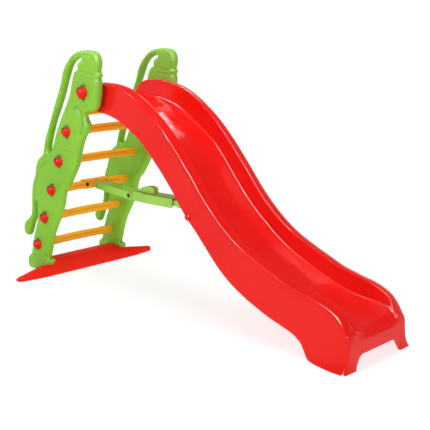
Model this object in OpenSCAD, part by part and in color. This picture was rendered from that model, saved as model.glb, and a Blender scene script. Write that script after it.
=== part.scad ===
// Folding garden slide: a moulded chute hung between two ladder side panels,
// held open by a two-link strut with an elbow.  Millimetres, +Z up,
// +X towards the chute's exit, symmetric about the XZ plane.

/* [Ladder] */
// clear distance between the two side panels
panel_gap = 446; // [430:1:460]
// thickness of a side panel
panel_t = 52; // [44:1:56]
// forward step from one rung to the next
rung_step_x = 77.5; // [74:0.5:80]
// upward step from one rung to the next
rung_step_z = 162.5; // [160:0.5:164]
// height of a rung's middle section
rung_h = 36; // [30:1:38]
// depth of a rung, front to back
rung_d = 30; // [26:1:32]
// how far the middle of a rung bows upwards
rung_bow = 8; // [0:1:9]
// diameter of the tenon at each end of a rung
tenon_d = 26; // [20:1:28]
// length of the collar at each end of a rung
collar_len = 62; // [40:1:70]
// radius of a rung's round end cap
cap_r = 28; // [22:1:30]
// radius of the larger cap over each top pivot
pivot_cap_r = 34; // [28:1:36]

/* [Base bar] */
// overall length of the floor bar
base_len = 924; // [880:2:960]
// height of the bar between the side panels
base_h = 82; // [76:1:88]
// height of the bar's seats under the side panels
base_seat_h = 65; // [60:1:65]

/* [Chute] */
// wall thickness of the moulding
chute_t = 4; // [3:0.5:5]
// half width over the outer edges of the two rims
rim_outer = 203; // [198:1:206]
// half width between the inner edges of the two rims
rim_inner = 156; // [150:1:162]
// how far each foot spreads out at the floor
foot_flare = 27; // [10:1:30]
// height of the arch under the exit
arch_h = 72; // [50:1:80]
// half width of the arch at the floor
arch_half = 158; // [130:1:165]

/* [Strut] */
// width of the strut over its side cheeks
strut_w = 76; // [72:1:80]
// thickness of the short link's cheeks
cheek_t = 6; // [5:0.5:7]
// height of the short link
short_h = 38; // [34:1:40]
// height of the long link
long_h = 52; // [46:1:54]
// diameter of the cross pin under the chute
cross_pin_d = 12; // [10:1:14]
// diameter of the top pivot bolts
pivot_d = 16; // [12:1:18]

/* [Quality] */
// facets round each pin, bore and cap
facets = 48; // [32:4:72]

/* [Hidden] */
$fn = facets;
fit = 0.05;                    // radial running clearance
x_mid = 1098.5;                  // rearmost point to the middle of the object
yi = panel_gap / 2;            // inner face of a side panel
yo = yi + panel_t;             // outer face of a side panel
rung0 = [152, 163];            // lowest rung, X and Z
pivot = [613, 1021];           // chute and ladder turn about this axis
strut_a = [375, 492];          // short link's hinge at the third rung
strut_b = [647, 474];          // elbow
strut_c = [1285, 490];         // long link's hinge under the chute
top_bar = [560, 915];          // tie bar under the chute's upper end
ab_ang = atan2(strut_b[1] - strut_a[1], strut_b[0] - strut_a[0]);
bc_ang = atan2(strut_c[1] - strut_b[1], strut_c[0] - strut_b[0]);
ab_len = norm(strut_b - strut_a);
bc_len = norm(strut_c - strut_b);

red = [0.86, 0.07, 0.05];
green = [0.50, 0.80, 0.22];
orange = [0.97, 0.60, 0.10];
leaf_green = [0.13, 0.42, 0.10];
steel = [0.70, 0.71, 0.73];

function rung_pos(i) = [rung0[0] + rung_step_x * (i - 1), rung0[1] + rung_step_z * (i - 1)];

// ---------- helpers ----------
module place() translate([-x_mid, 0, 0]) children();

// a cylinder along Y, from y0 to y1, centred on X and Z
module ycyl(p, r, y0, y1) translate([p[0], y0, p[1]]) rotate([-90, 0, 0]) cylinder(r = r, h = y1 - y0);

// an XZ outline pushed along Y from y0 to y1
module yslab(y0, y1) translate([0, y1, 0]) rotate([90, 0, 0]) linear_extrude(height = y1 - y0) children();

// closed smooth curve through control points
function cr(a, b, c, d, t) = 0.5 * ((2 * b) + (c - a) * t + (2 * a - 5 * b + 4 * c - d) * t * t + (3 * b - a - 3 * c + d) * t * t * t);
function smooth_closed(p, n) = [for (i = [0:len(p) - 1], k = [0:n - 1])
    cr(p[(i + len(p) - 1) % len(p)], p[i], p[(i + 1) % len(p)], p[(i + 2) % len(p)], k / n)];

// a strip of width w along an open path, as a polygon
function dirn(p, i) = let (a = p[max(0, i - 1)], b = p[min(len(p) - 1, i + 1)], d = b - a) d / norm(d);
function strip(p, w) = concat(
    [for (i = [0:len(p) - 1]) let (d = dirn(p, i)) p[i] + [-d[1], d[0]] * w / 2],
    [for (j = [0:len(p) - 1]) let (i = len(p) - 1 - j, d = dirn(p, i)) p[i] - [-d[1], d[0]] * w / 2]);

// a skin over a row of sections that all have the same number of points
module skin(s) {
    n = len(s[0]);
    m = len(s);
    polyhedron(points = [for (a = s) for (p = a) p],
        faces = concat(
            [[for (i = [0:n - 1]) i]],
            [[for (i = [0:n - 1]) (m - 1) * n + n - 1 - i]],
            [for (j = [0:m - 2], i = [0:n - 1]) let (k = (i + 1) % n) [j * n + k, j * n + i, (j + 1) * n + i]],
            [for (j = [0:m - 2], i = [0:n - 1]) let (k = (i + 1) % n) [j * n + k, (j + 1) * n + i, (j + 1) * n + k]]),
        convexity = 12);
}

// ---------- side panels ----------
// outline of a panel: a climbing figure with a long arm as the handrail and a hanging tail
figure = [[584, 1224], [542, 1217], [498, 1197], [454, 1159], [422, 1114], [406, 1070], [381, 1019], [351, 966],
    [321, 912], [293, 859], [264, 805], [237, 751], [219, 700], [210, 672], [184, 656], [156, 632], [137, 594],
    [125, 549], [108, 518], [94, 484], [84, 431], [77, 350], [64, 314], [34, 289], [2, 266], [-11, 236], [-8, 208],
    [12, 190], [32, 190], [46, 204], [58, 228], [72, 256], [87, 286], [98, 318], [105, 354], [110, 390],
    [119, 406], [129, 400], [134, 370], [133, 330], [124, 285], [101, 236], [76, 174], [54, 110],
    [34, 96], [20, 80], [16, 50], [17, 14], [30, 1], [60, 0], [88, 0],
    [91, 62], [100, 66], [170, 66], [224, 67], [238, 76], [240, 90], [232, 101], [214, 107],
    [226, 140], [243, 192], [264, 240], [291, 284], [316, 322], [340, 366], [361, 408], [374, 456], [390, 494], [416, 516],
    [436, 541], [454, 566], [472, 590], [490, 616], [508, 644], [520, 676], [531, 710], [550, 756],
    [572, 792], [594, 818], [612, 840], [617, 858], [606, 874], [595, 892], [594, 908], [606, 920], [636, 926],
    [668, 934], [688, 954], [700, 986], [709, 1030], [711, 1072], [707, 1092], [716, 1102], [717, 1114],
    [707, 1124], [713, 1142], [716, 1168], [710, 1194], [698, 1212], [678, 1222], [650, 1225], [616, 1226]];
// slot between the arm and the head and body
hand_slot = [[574, 1190], [532, 1180], [500, 1161], [478, 1138], [461, 1110], [444, 1077], [422, 1034], [400, 988],
    [373, 941], [350, 902], [322, 858], [299, 812], [278, 766], [259, 716], [255, 696], [262, 686], [276, 688],
    [292, 702], [316, 744], [340, 794], [366, 840], [395, 884], [423, 925], [454, 970], [476, 1010], [494, 1060],
    [508, 1098], [522, 1121], [541, 1129], [550, 1139], [545, 1152], [555, 1166], [572, 1174], [586, 1183]];
// shallow relief lines on a panel's outer face
tail_line = [[122, 420], [128, 460], [142, 510], [164, 556], [192, 594], [222, 622]];
arm_line = [[540, 936], [542, 900], [539, 862], [526, 838]];
chin_line = [[606, 1126], [640, 1118], [676, 1117], [704, 1121]];
collar_line = [[606, 1098], [640, 1091], [676, 1090], [702, 1095]];
waist_line = [[366, 700], [410, 694], [470, 700], [522, 716]];
hem_line = [[636, 1000], [668, 996], [696, 999]];

module panel_outline() difference() {
    polygon([for (q = smooth_closed(figure, 2)) [q[0], max(0, q[1])]]);
    polygon(smooth_closed(hand_slot, 2));
}

// panel on the -Y side; the other one is its mirror image
module panel_body() difference() {
    union() {
        yslab(-yo + 4, -yi - 4) panel_outline();
        yslab(-yo, -yi) offset(delta = -4) panel_outline();
    }
    for (i = [1:5]) ycyl(rung_pos(i), tenon_d / 2 + fit, -yo - 1, -yi + 1);
    ycyl(pivot, pivot_d / 2 + fit, -yo - 1, -yi + 1);
    ycyl(pivot, 18, -yo - 1, -yo + 8);
    ycyl(top_bar, 8 + fit, -yi - 24, -yi + 1);
    for (l = [tail_line, arm_line, chin_line, collar_line, waist_line, hem_line])
        yslab(-yo - 1, -yo + 3) polygon(strip(l, 6));
    translate([180, -(yi + yo) / 2, 60]) cylinder(r = 3 + fit, h = 40);
}
module side_panel_right() color(green) place() panel_body();
module side_panel_left() color(green) place() mirror([0, 1, 0]) panel_body();

// ---------- rungs ----------
function bow(y) = rung_bow * (1 - pow(y / yi, 2));
module rung(i) {
    p = rung_pos(i);
    bar_end = yi - collar_len + 6;
    ys = [for (k = [0:16]) -bar_end + 2 * bar_end * k / 16];
    difference() {
        union() {
            translate([p[0] - rung_d / 2 + 4, 0, p[1]]) rotate([90, 0, 90]) linear_extrude(height = rung_d - 8)
                polygon(concat([for (y = ys) [y, bow(y) - rung_h / 2]],
                    [for (k = [0:16]) [ys[16 - k], bow(ys[16 - k]) + rung_h / 2]]));
            translate([p[0] - rung_d / 2, 0, p[1]]) rotate([90, 0, 90]) linear_extrude(height = rung_d)
                polygon(concat([for (y = ys) [y, bow(y) - rung_h / 2 + 4]],
                    [for (k = [0:16]) [ys[16 - k], bow(ys[16 - k]) + rung_h / 2 - 4]]));
            for (s = [-1, 1]) {
                translate([p[0] - rung_d / 2 - 2, s > 0 ? yi - collar_len : -yi, p[1] - rung_h / 2 - 1])
                    cube([rung_d + 4, collar_len, rung_h + 8]);
                translate([p[0] - rung_d / 2 + 2, s > 0 ? yi - collar_len : -yi, p[1] - rung_h / 2 - 4])
                    cube([rung_d - 4, collar_len, rung_h + 14]);
                ycyl(p, tenon_d / 2, s > 0 ? yi - 1 : -yo + 7, s > 0 ? yo - 7 : -yi + 1);
            }
        }
        for (s = [-1, 1]) ycyl(p, 3, s > 0 ? yo - 47 : -yo, s > 0 ? yo : -yo + 47);
    }
}
module rung_1() color(orange) place() rung(1);
module rung_2() color(orange) place() rung(2);
module rung_3() color(orange) place() rung(3);
module rung_4() color(orange) place() rung(4);
module rung_5() color(orange) place() rung(5);

// round bar that ties the panels together under the chute's upper end
module top_tie_bar() color(orange) place() {
    ycyl(top_bar, 12, -yi, yi);
    ycyl(top_bar, 8, -yi - 22, yi + 22);
}

// ---------- fruit-shaped end caps ----------
// dome of radius r on the outer face at p, on the side s, with a short plug behind it
module fruit(p, r, s, plug_r, plug_l) translate([p[0], s * yo, p[1]]) rotate([s > 0 ? -90 : 90, 0, 0]) {
    difference() {
        union() {
            rotate_extrude() polygon(concat([[0, 0], [r * 0.86, 0]],
                [for (a = [8:8:82]) [r * (0.06 + 0.94 * cos(a)) * (0.93 + 0.07 * cos(a)), 2 + 0.96 * r * sin(a)]],
                [[r * 0.10, r * 0.94], [0, r * 0.90]]));
            translate([0, 0, -plug_l]) cylinder(r = plug_r, h = plug_l + 1);
        }
        translate([0, 0, -plug_l - 1]) cylinder(r = 7.5, h = plug_l + 5);
    }
}
module rung_cap(i, s) color(red) place() fruit(rung_pos(i), cap_r, s, tenon_d / 2 - 0.1, 6);
module rung_cap_left_1() rung_cap(1, 1);
module rung_cap_left_2() rung_cap(2, 1);
module rung_cap_left_3() rung_cap(3, 1);
module rung_cap_left_4() rung_cap(4, 1);
module rung_cap_left_5() rung_cap(5, 1);
module rung_cap_right_1() rung_cap(1, -1);
module rung_cap_right_2() rung_cap(2, -1);
module rung_cap_right_3() rung_cap(3, -1);
module rung_cap_right_4() rung_cap(4, -1);
module rung_cap_right_5() rung_cap(5, -1);
// the pivot caps cover the bolt heads and plug into the recess round them
module pivot_cap(s) color(red) place() difference() {
    union() {
        fruit(pivot, pivot_cap_r, s, 17.9, 7);
    }
    ycyl(pivot, 15, s > 0 ? yo - 8 : -yo - 5, s > 0 ? yo + 5 : -yo + 8);
}
module pivot_cap_left() pivot_cap(1);
module pivot_cap_right() pivot_cap(-1);

// three-lobed leaf above each cap
function leaf(k) = [[0, -7], [5, -3], [16, -2], [10, 3], [4, 4], [0, 13], [-4, 4], [-10, 3], [-16, -2], [-5, -3]] * k;
module cap_leaves() color(leaf_green) place() for (s = [-1, 1]) {
    for (i = [1:5]) leaf_at(rung_pos(i), cap_r, s, 0.8);
    leaf_at(pivot, pivot_cap_r, s, 1);
}
module leaf_at(p, r, s, k) translate([p[0], 0, p[1] + r + 8 * k])
    yslab(s > 0 ? yo : -yo - 5, s > 0 ? yo + 5 : -yo) polygon(leaf(k));

// screws that clamp the panels on the rungs, under the caps
module rung_screws() color(steel) place() for (i = [1:5], s = [-1, 1]) {
    ycyl(rung_pos(i), 3, s > 0 ? yo - 46 : -yo + 6.5, s > 0 ? yo - 6.5 : -yo + 46);
    ycyl(rung_pos(i), 6, s > 0 ? yo - 6.9 : -yo + 2.5, s > 0 ? yo - 2.5 : -yo + 6.9);
}

// ---------- base bar ----------
// half of the bar's section list: Y, top height, rear edge, front edge
base_rows = [[0, base_h, 106, 263], [120, base_h, 106, 263], [yi - 12, base_h - 1, 106, 263],
    [yi - 3, base_seat_h + 0.9, 106, 263], [yi - 2, base_seat_h, 106, 263], [yo + 2, base_seat_h, 106, 263],
    [yo + 10, base_seat_h - 3, 107, 262], [yo + 60, 56, 120, 258], [yo + 110, 48, 142, 250],
    [yo + 150, 41, 170, 240], [base_len / 2 - 10, 34, 190, 230], [base_len / 2, 24, 200, 224]];
function base_section(r, s) = let (y = s * r[0], h = r[1], a = r[2], b = r[3], w = b - a, e = min(1, w / 60))
    [[a + 4 * e, y, 0], [a, y, 7], [a + 0.08 * w, y, 0.5 * h], [a + 0.22 * w, y, 0.88 * h], [a + 0.32 * w, y, h],
     [a + 0.62 * w, y, h], [a + 0.72 * w, y, 0.88 * h], [a + 0.90 * w, y, 0.42 * h], [b, y, 8], [b - 4 * e, y, 0]];
module base_bar() color(red) place() difference() {
    skin(concat([for (k = [0:len(base_rows) - 1]) base_section(base_rows[len(base_rows) - 1 - k], -1)],
        [for (k = [1:len(base_rows) - 1]) base_section(base_rows[k], 1)]));
    for (s = [-1, 1]) translate([180, s * (yi + yo) / 2, 0]) {
        translate([0, 0, -1]) cylinder(r = 3 + fit, h = 90);
        translate([0, 0, -1]) cylinder(r = 9, h = 21);
    }
}
module base_screws() color(steel) place() for (s = [-1, 1]) translate([180, s * (yi + yo) / 2, 0]) {
    translate([0, 0, 15.5]) cylinder(r = 3, h = 80);
    translate([0, 0, 15.6]) cylinder(r = 6.5, h = 4.4);
}

// ---------- chute ----------
// one row per section: rim X and Z, skirt bottom X and Z, depth of the bed below the rim
rows = [[490, 992, 486, 964, 6], [503, 1020, 500, 960, 34], [530, 1045, 530, 957, 60], [570, 1060, 572, 952, 77],
    [600, 1065, 602, 944, 83], [644, 1068, 636, 926, 88], [692, 1067, 672, 919, 92], [740, 1064, 708, 914, 98],
    [790, 1056, 746, 906, 104], [835, 1046, 783, 896, 107], [882, 1028, 820, 882, 107], [925, 1007, 858, 864, 107],
    [968, 983, 896, 844, 106], [1008, 957, 934, 821, 103], [1048, 930, 970, 796, 98], [1088, 899, 1004, 769, 92],
    [1126, 867, 1034, 742, 86], [1162, 833, 1062, 716, 82], [1197, 798, 1090, 690, 82], [1231, 762, 1118, 662, 82],
    [1264, 726, 1150, 629, 83], [1297, 689, 1184, 592, 83], [1328, 653, 1216, 553, 82], [1358, 619, 1248, 515, 81],
    [1388, 586, 1282, 479, 80], [1418, 556, 1318, 447, 79], [1446, 529, 1352, 415, 77], [1475, 504, 1384, 383, 75],
    [1507, 478, 1417, 350, 74], [1540, 454, 1450, 318, 74], [1577, 430, 1488, 284, 75], [1616, 408, 1528, 253, 77],
    [1654, 390, 1572, 225, 78], [1692, 374, 1616, 202, 79], [1735, 356, 1662, 180, 80], [1778, 340, 1710, 161, 81],
    [1821, 323, 1757, 143, 81], [1864, 307, 1806, 127, 82], [1901, 297, 1850, 115, 84], [1938, 289, 1893, 103, 86],
    [1968, 282, 1930, 88, 87], [1998, 276, 1962, 64, 89], [2020, 272, 1984, 34, 90], [2042, 267, 2006, 8, 91],
    [2070, 260, 2046, 0, 90], [2104, 248, 2092, 0, 86], [2138, 228, 2134, 0, 76], [2166, 202, 2164, 0, 60],
    [2187, 174, 2186, 0, 40], [2200, 146, 2200, 0, 18], [2206, 130, 2206, 0, 6]];

// a point at depth h below the rim of a row, and the band between two depths along the whole chute
function down(r, h) = let (rim = [r[0], r[1]], skt = [r[2], max(0.5, r[3])]) rim + (skt - rim) / norm(skt - rim) * h;
function skirt_len(r) = norm([r[0] - r[2], r[1] - max(0.5, r[3])]);
function part_of(r, h) = h * min(1, r[4] / 40);
module band(y0, y1, upper, lower) for (s = [-1, 1])
    yslab(s > 0 ? y0 : -y1, s > 0 ? y1 : -y0) polygon(concat(upper, [for (i = [1:len(lower)]) lower[len(lower) - i]]));

// foot that spreads out at the floor, as Y and Z
toe = [[rim_outer - 3, 0], [rim_outer + foot_flare, 0], [rim_outer + foot_flare - 1, 7], [rim_outer + 0.62 * foot_flare, 16],
    [rim_outer + 0.36 * foot_flare, 34], [rim_outer + 0.16 * foot_flare, 62], [rim_outer + 0.6, 100], [rim_outer - 2, 104]];
arch = [for (a = [0:10:180]) [arch_half * sign(cos(a)) * pow(abs(cos(a)), 0.62), arch_h * pow(sin(a), 0.55)]];
module chute() color(red) place() difference() {
    union() {
        // bed
        yslab(-rim_inner + 3, rim_inner - 3) polygon(concat([for (r = rows) down(r, r[4])],
            [for (i = [1:len(rows)]) down(rows[len(rows) - i], rows[len(rows) - i][4] + chute_t)]));
        // inner walls, rounded rims and outer skirts
        band(rim_inner - 5, rim_inner - 5 + chute_t, [for (r = rows) down(r, part_of(r, 12))], [for (r = rows) down(r, r[4] + 2)]);
        band(rim_inner - 3, rim_inner + 4, [for (r = rows) down(r, part_of(r, 5))], [for (r = rows) down(r, part_of(r, 14) + 3)]);
        band(rim_inner + 1, rim_outer - 3, [for (r = rows) down(r, 0)], [for (r = rows) down(r, part_of(r, 9) + 1)]);
        band(rim_outer - 6, rim_outer - 1, [for (r = rows) down(r, part_of(r, 4))], [for (r = rows) down(r, part_of(r, 17) + 3)]);
        band(rim_outer - chute_t, rim_outer, [for (r = rows) down(r, part_of(r, 12))], [for (r = rows) down(r, skirt_len(r))]);
        // spreading feet and the front wall with its arch
        for (s = [-1, 1]) translate([2010, 0, 0]) rotate([90, 0, 90]) linear_extrude(height = 198) polygon([for (q = toe) [s * q[0], q[1]]]);
        translate([2205.5 - chute_t - 1, 0, 0]) rotate([90, 0, 90]) linear_extrude(height = chute_t + 1) difference() {
            translate([-rim_outer + 1.5, 0.7]) square([2 * rim_outer - 3, 120.5]);
            polygon(concat([[arch_half, -1]], arch, [[-arch_half, -1]]));
        }
    }
    for (s = [-1, 1]) {
        ycyl(pivot, pivot_d / 2 + fit, s > 0 ? 180 : -240, s > 0 ? 240 : -180);
        ycyl(strut_c, cross_pin_d / 2 + fit, s > 0 ? 180 : -240, s > 0 ? 240 : -180);
    }
}

// bolts through the panels and the chute's outer walls, with nuts inside the rims
module pivot_bolts() color(steel) place() for (s = [-1, 1]) {
    ycyl(pivot, pivot_d / 2, s > 0 ? 184 : -yo + 0.5, s > 0 ? yo - 0.5 : -184);
    ycyl(pivot, 13, s > 0 ? yo - 7.9 : -yo, s > 0 ? yo : -yo + 7.9);
}
module pivot_nuts() color(steel) place() for (s = [-1, 1]) difference() {
    translate([pivot[0], s > 0 ? 185 : -195, pivot[1]]) rotate([-90, 0, 0]) cylinder(r = 14, h = 10, $fn = 6);
    ycyl(pivot, pivot_d / 2 + 0.01, -240, 240);
}

// ---------- cross pin ----------
module cross_pin() color(steel) place() ycyl(strut_c, cross_pin_d / 2, -214, 214);
module cross_pin_cap(s) color(red) place() difference() {
    translate([strut_c[0], s * 209.5, strut_c[1]]) rotate([s > 0 ? -90 : 90, 0, 0]) rotate_extrude()
        polygon([[0, 0], [15, 0], [17, 2], [17, 5], [14, 9], [9, 11.5], [0, 12.5]]);
    ycyl(strut_c, cross_pin_d / 2 + 0.01, s > 0 ? 200 : -214.2, s > 0 ? 214.2 : -200);
}
module cross_pin_cap_left() cross_pin_cap(1);
module cross_pin_cap_right() cross_pin_cap(-1);

// ---------- strut ----------
// clamp round the third rung, with a lug that carries the short link's hinge
module strut_bracket() color(orange) place() {
    p = rung_pos(3);
    zc = p[1] + rung_bow - 0.5;
    difference() {
        union() {
            translate([p[0] - rung_d / 2 - 6, -82, zc - rung_h / 2 - 6]) cube([rung_d + 12, 164, rung_h + 12]);
            hull() {
                ycyl(strut_a, 17, -31, 31);
                translate([p[0] + rung_d / 2 + 1, -31, strut_a[1] - 17]) cube([5, 62, 34]);
            }
        }
        translate([p[0] - rung_d / 2 - fit, -83, zc - rung_h / 2 - 0.9]) cube([rung_d + 2 * fit, 166, rung_h + 1.8]);
        ycyl(strut_a, 6 + fit, -40, 40);
        for (s = [-1, 1]) translate([p[0] + rung_d / 2 - 5, s * 64, zc]) rotate([0, 90, 0]) cylinder(r = 3 + fit, h = 20);
    }
}
// screws through the clamp's front plate, seated in counterbores of the plate
module bracket_screws() color(steel) place() {
    p = rung_pos(3);
    for (s = [-1, 1]) translate([p[0] + rung_d / 2 + 0.2, s * 64, p[1] + rung_bow - 0.5]) rotate([0, 90, 0]) {
        cylinder(r = 3, h = 5.8);
        translate([0, 0, 5.8]) cylinder(r = 6, h = 3.2);
    }
}
module strut_hinge_pin() color(steel) place() ycyl(strut_a, 6, -strut_w / 2 - 1, strut_w / 2 + 1);

// short link: a box near its hinge, then two long cheeks that straddle the long link at the elbow
module link_plate(l, h, e0, e1) union() {
    circle(d = h);
    translate([0, -h / 2]) square([l, h]);
    translate([l, 0]) circle(d = e1);
}
module short_strut() color(green) place() difference() {
    translate([strut_a[0], 0, strut_a[1]]) rotate([0, -ab_ang, 0]) {
        for (s = [-1, 1]) yslab(s > 0 ? strut_w / 2 - cheek_t : -strut_w / 2, s > 0 ? strut_w / 2 : -strut_w / 2 + cheek_t)
            link_plate(ab_len, short_h, short_h, short_h + 6);
        translate([26, -strut_w / 2 + 1, short_h / 2 - 5]) cube([112, strut_w - 2, 5]);
        translate([26, -strut_w / 2 + 1, -short_h / 2]) cube([112, strut_w - 2, 5]);
        translate([132, -strut_w / 2 + 1, -short_h / 2]) cube([6, strut_w - 2, short_h]);
    }
    ycyl(strut_a, 6 + fit, -60, 60);
    ycyl(strut_b, 5, -60, 60);
}
// the elbow's two stub screws, one in each cheek, ending just short of the long link
module elbow_screws() color(steel) place() for (s = [-1, 1])
    ycyl(strut_b, 5, s > 0 ? strut_w / 2 - cheek_t - 1.5 : -strut_w / 2 + 2, s > 0 ? strut_w / 2 - 2 : -strut_w / 2 + cheek_t + 1.5);

// long link: a channel, open underneath, that runs from the elbow to its yoke
long_half = strut_w / 2 - cheek_t - 2;
long_end = 338;
module long_strut() color(green) place() difference() {
    translate([strut_b[0], 0, strut_b[1]]) rotate([0, -bc_ang, 0]) difference() {
        union() {
            yslab(-long_half, long_half) union() {
                circle(d = 44);
                polygon([[0, -22], [40, -long_h / 2], [long_end, -long_h / 2], [long_end, long_h / 2], [36, long_h / 2], [0, 22]]);
            }
            yslab(-strut_w / 2 + 2, strut_w / 2 - 2) translate([114, -long_h / 2]) square([long_end - 114, long_h]);
        }
        translate([52, -long_half + 3, -long_h / 2 - 1]) cube([long_end - 52 - 30, 2 * long_half - 6, long_h - 5]);
        translate([long_end - 40, -24, -15]) cube([60, 48, 30]);
        translate([70, -6, long_h / 2 - 8]) cube([110, 12, 20]);
        for (x = [long_end - 14], s = [-1, 1]) translate([x, s > 0 ? 20 : -60, 0]) rotate([-90, 0, 0]) cylinder(r = 3 + fit, h = 40);
    }
    ycyl(strut_b, 5 + 1, -60, 60);
}
// yoke: neck, shoulder block and the eye that turns on the cross pin
module strut_yoke() color(green) place() difference() {
    translate([strut_b[0], 0, strut_b[1]]) rotate([0, -bc_ang, 0]) difference() {
        union() {
            translate([long_end - 29, -23.9, -14.9]) cube([75, 47.8, 29.8]);
            translate([long_end + 34, -36, -18]) cube([86, 72, 36]);
            yslab(-28, 28) polygon([[long_end + 118, -18], [bc_len, -15], [bc_len, 15], [long_end + 118, 18]]);
            translate([bc_len, -40, 0]) rotate([-90, 0, 0]) cylinder(r = 16, h = 80);
        }
        for (x = [long_end - 14], s = [-1, 1]) translate([x, s > 0 ? 10 : -60, 0]) rotate([-90, 0, 0]) cylinder(r = 3, h = 50);
    }
    ycyl(strut_c, cross_pin_d / 2 + fit, -60, 60);
}
module yoke_screws() color(steel) place()
    translate([strut_b[0], 0, strut_b[1]]) rotate([0, -bc_ang, 0]) for (s = [-1, 1]) {
        translate([long_end - 14, s > 0 ? 10.2 : -strut_w / 2 + 2.1, 0]) rotate([-90, 0, 0]) cylinder(r = 2.99, h = strut_w / 2 - 12.3);
        translate([long_end - 14, s > 0 ? strut_w / 2 - 2 : -strut_w / 2 - 0.6, 0]) rotate([-90, 0, 0]) cylinder(r = 5.5, h = 2.6);
    }

// thumb catch that slides along a slot in the long link's top
module strut_catch() color(green) place()
    translate([strut_b[0], 0, strut_b[1]]) rotate([0, -bc_ang, 0]) {
        yslab(-17, 17) polygon([[34, long_h / 2 + 0.5], [178, long_h / 2 + 0.5], [180, long_h / 2 + 22], [172, long_h / 2 + 31],
            [150, long_h / 2 + 35], [120, long_h / 2 + 34], [92, long_h / 2 + 26], [66, long_h / 2 + 15], [34, long_h / 2 + 8]]);
        translate([76, -5.5, long_h / 2 - 3]) cube([86, 11, 6]);
    }

chute();
cross_pin();
cross_pin_cap_left();
cross_pin_cap_right();
side_panel_left();
side_panel_right();
rung_1();
rung_2();
rung_3();
rung_4();
rung_5();
top_tie_bar();
base_bar();
rung_cap_left_1();
rung_cap_left_2();
rung_cap_left_3();
rung_cap_left_4();
rung_cap_left_5();
rung_cap_right_1();
rung_cap_right_2();
rung_cap_right_3();
rung_cap_right_4();
rung_cap_right_5();
pivot_cap_left();
pivot_cap_right();
cap_leaves();
rung_screws();
pivot_bolts();
pivot_nuts();
base_screws();
strut_bracket();
bracket_screws();
strut_hinge_pin();
short_strut();
elbow_screws();
long_strut();
strut_yoke();
yoke_screws();
strut_catch();
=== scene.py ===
import math

import bmesh
import bpy
import numpy as np
from mathutils import Matrix, Vector
from mathutils.geometry import delaunay_2d_cdt


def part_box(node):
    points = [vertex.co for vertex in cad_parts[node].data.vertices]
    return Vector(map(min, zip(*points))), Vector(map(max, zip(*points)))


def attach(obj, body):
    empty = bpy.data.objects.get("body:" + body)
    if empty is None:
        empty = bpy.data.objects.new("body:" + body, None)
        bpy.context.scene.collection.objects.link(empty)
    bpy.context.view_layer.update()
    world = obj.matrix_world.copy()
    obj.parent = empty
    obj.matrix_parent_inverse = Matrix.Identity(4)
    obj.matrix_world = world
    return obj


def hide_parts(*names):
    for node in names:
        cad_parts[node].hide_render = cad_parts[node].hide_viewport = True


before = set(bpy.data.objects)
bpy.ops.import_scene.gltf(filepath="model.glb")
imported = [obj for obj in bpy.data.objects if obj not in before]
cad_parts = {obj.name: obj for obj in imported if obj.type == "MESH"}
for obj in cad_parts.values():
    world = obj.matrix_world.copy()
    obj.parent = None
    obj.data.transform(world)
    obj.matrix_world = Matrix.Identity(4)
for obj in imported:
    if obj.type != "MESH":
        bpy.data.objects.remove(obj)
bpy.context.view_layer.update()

# profiles below are in millimetres from the rearmost point; OX carries them to the frame
OX = -1.0985
lo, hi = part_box("side_panel_left")
YI, YO = lo.y * 1000, hi.y * 1000          # inner and outer face of a panel, mm
YM, HT = (YI + YO) / 2, (YO - YI) / 2
RUNG = [(152 + 77.5 * k, 163 + 162.5 * k) for k in range(5)]
PIVOT = (613.0, 1021.0)
SA, SB, SC = (375.0, 492.0), (647.0, 474.0), (1285.0, 490.0)


# ---------------------------------------------------------------- mesh helpers
def make(name, verts, faces, mats, body, replaces=(), smooth=True, mat_index=None, auto=None):
    me = bpy.data.meshes.new(name)
    v = np.asarray(verts, float).reshape(-1, 3) / 1000.0
    v[:, 0] += OX
    me.from_pydata([tuple(p) for p in v], [], [tuple(int(i) for i in f) for f in faces])
    me.validate()
    for m in (mats if isinstance(mats, (list, tuple)) else [mats]):
        me.materials.append(m)
    if mat_index is not None:
        me.polygons.foreach_set("material_index", [int(i) for i in mat_index])
    bm = bmesh.new()
    bm.from_mesh(me)
    bmesh.ops.recalc_face_normals(bm, faces=bm.faces)
    bm.to_mesh(me)
    bm.free()
    if smooth:
        me.polygons.foreach_set("use_smooth", [True] * len(me.polygons))
    if auto:
        me.set_sharp_from_angle(angle=math.radians(auto))
    ob = bpy.data.objects.new(name, me)
    bpy.context.scene.collection.objects.link(ob)
    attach(ob, body)
    if replaces:
        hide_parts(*replaces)
    return ob


def modifier(ob, kind, **kw):
    m = ob.modifiers.new(kind.lower(), kind)
    for k, v in kw.items():
        setattr(m, k, v)
    return m


def shell(ob, t):
    """Give an open surface a wall thickness to its inner side, never below the floor."""
    me = ob.data
    n = len(me.vertices)
    co = np.empty(n * 3); me.vertices.foreach_get("co", co); co = co.reshape(-1, 3)
    no = np.array([tuple(v.vector) for v in me.vertex_normals])
    sign = 1.0 if no[np.argmax(co[:, 2])][2] > 0 else -1.0
    inner = co - sign * no * t
    inner[:, 2] = np.maximum(inner[:, 2], 0.0003)
    polys = [tuple(p.vertices) for p in me.polygons]
    if sign < 0:
        polys = [p[::-1] for p in polys]
    count = {}
    for p in polys:
        for a, b in zip(p, p[1:] + p[:1]):
            count[(a, b)] = count.get((a, b), 0) + 1
    rim = [(b, a, a + n, b + n) for (a, b) in count if (b, a) not in count]
    faces = polys + [tuple(i + n for i in p[::-1]) for p in polys] + rim
    new = bpy.data.meshes.new(ob.name)
    new.from_pydata([tuple(p) for p in np.vstack([co, inner])], [], faces)
    for m in me.materials:
        new.materials.append(m)
    new.polygons.foreach_set("use_smooth", [True] * len(new.polygons))
    new.set_sharp_from_angle(angle=math.radians(60))
    ob.data = new


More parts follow.
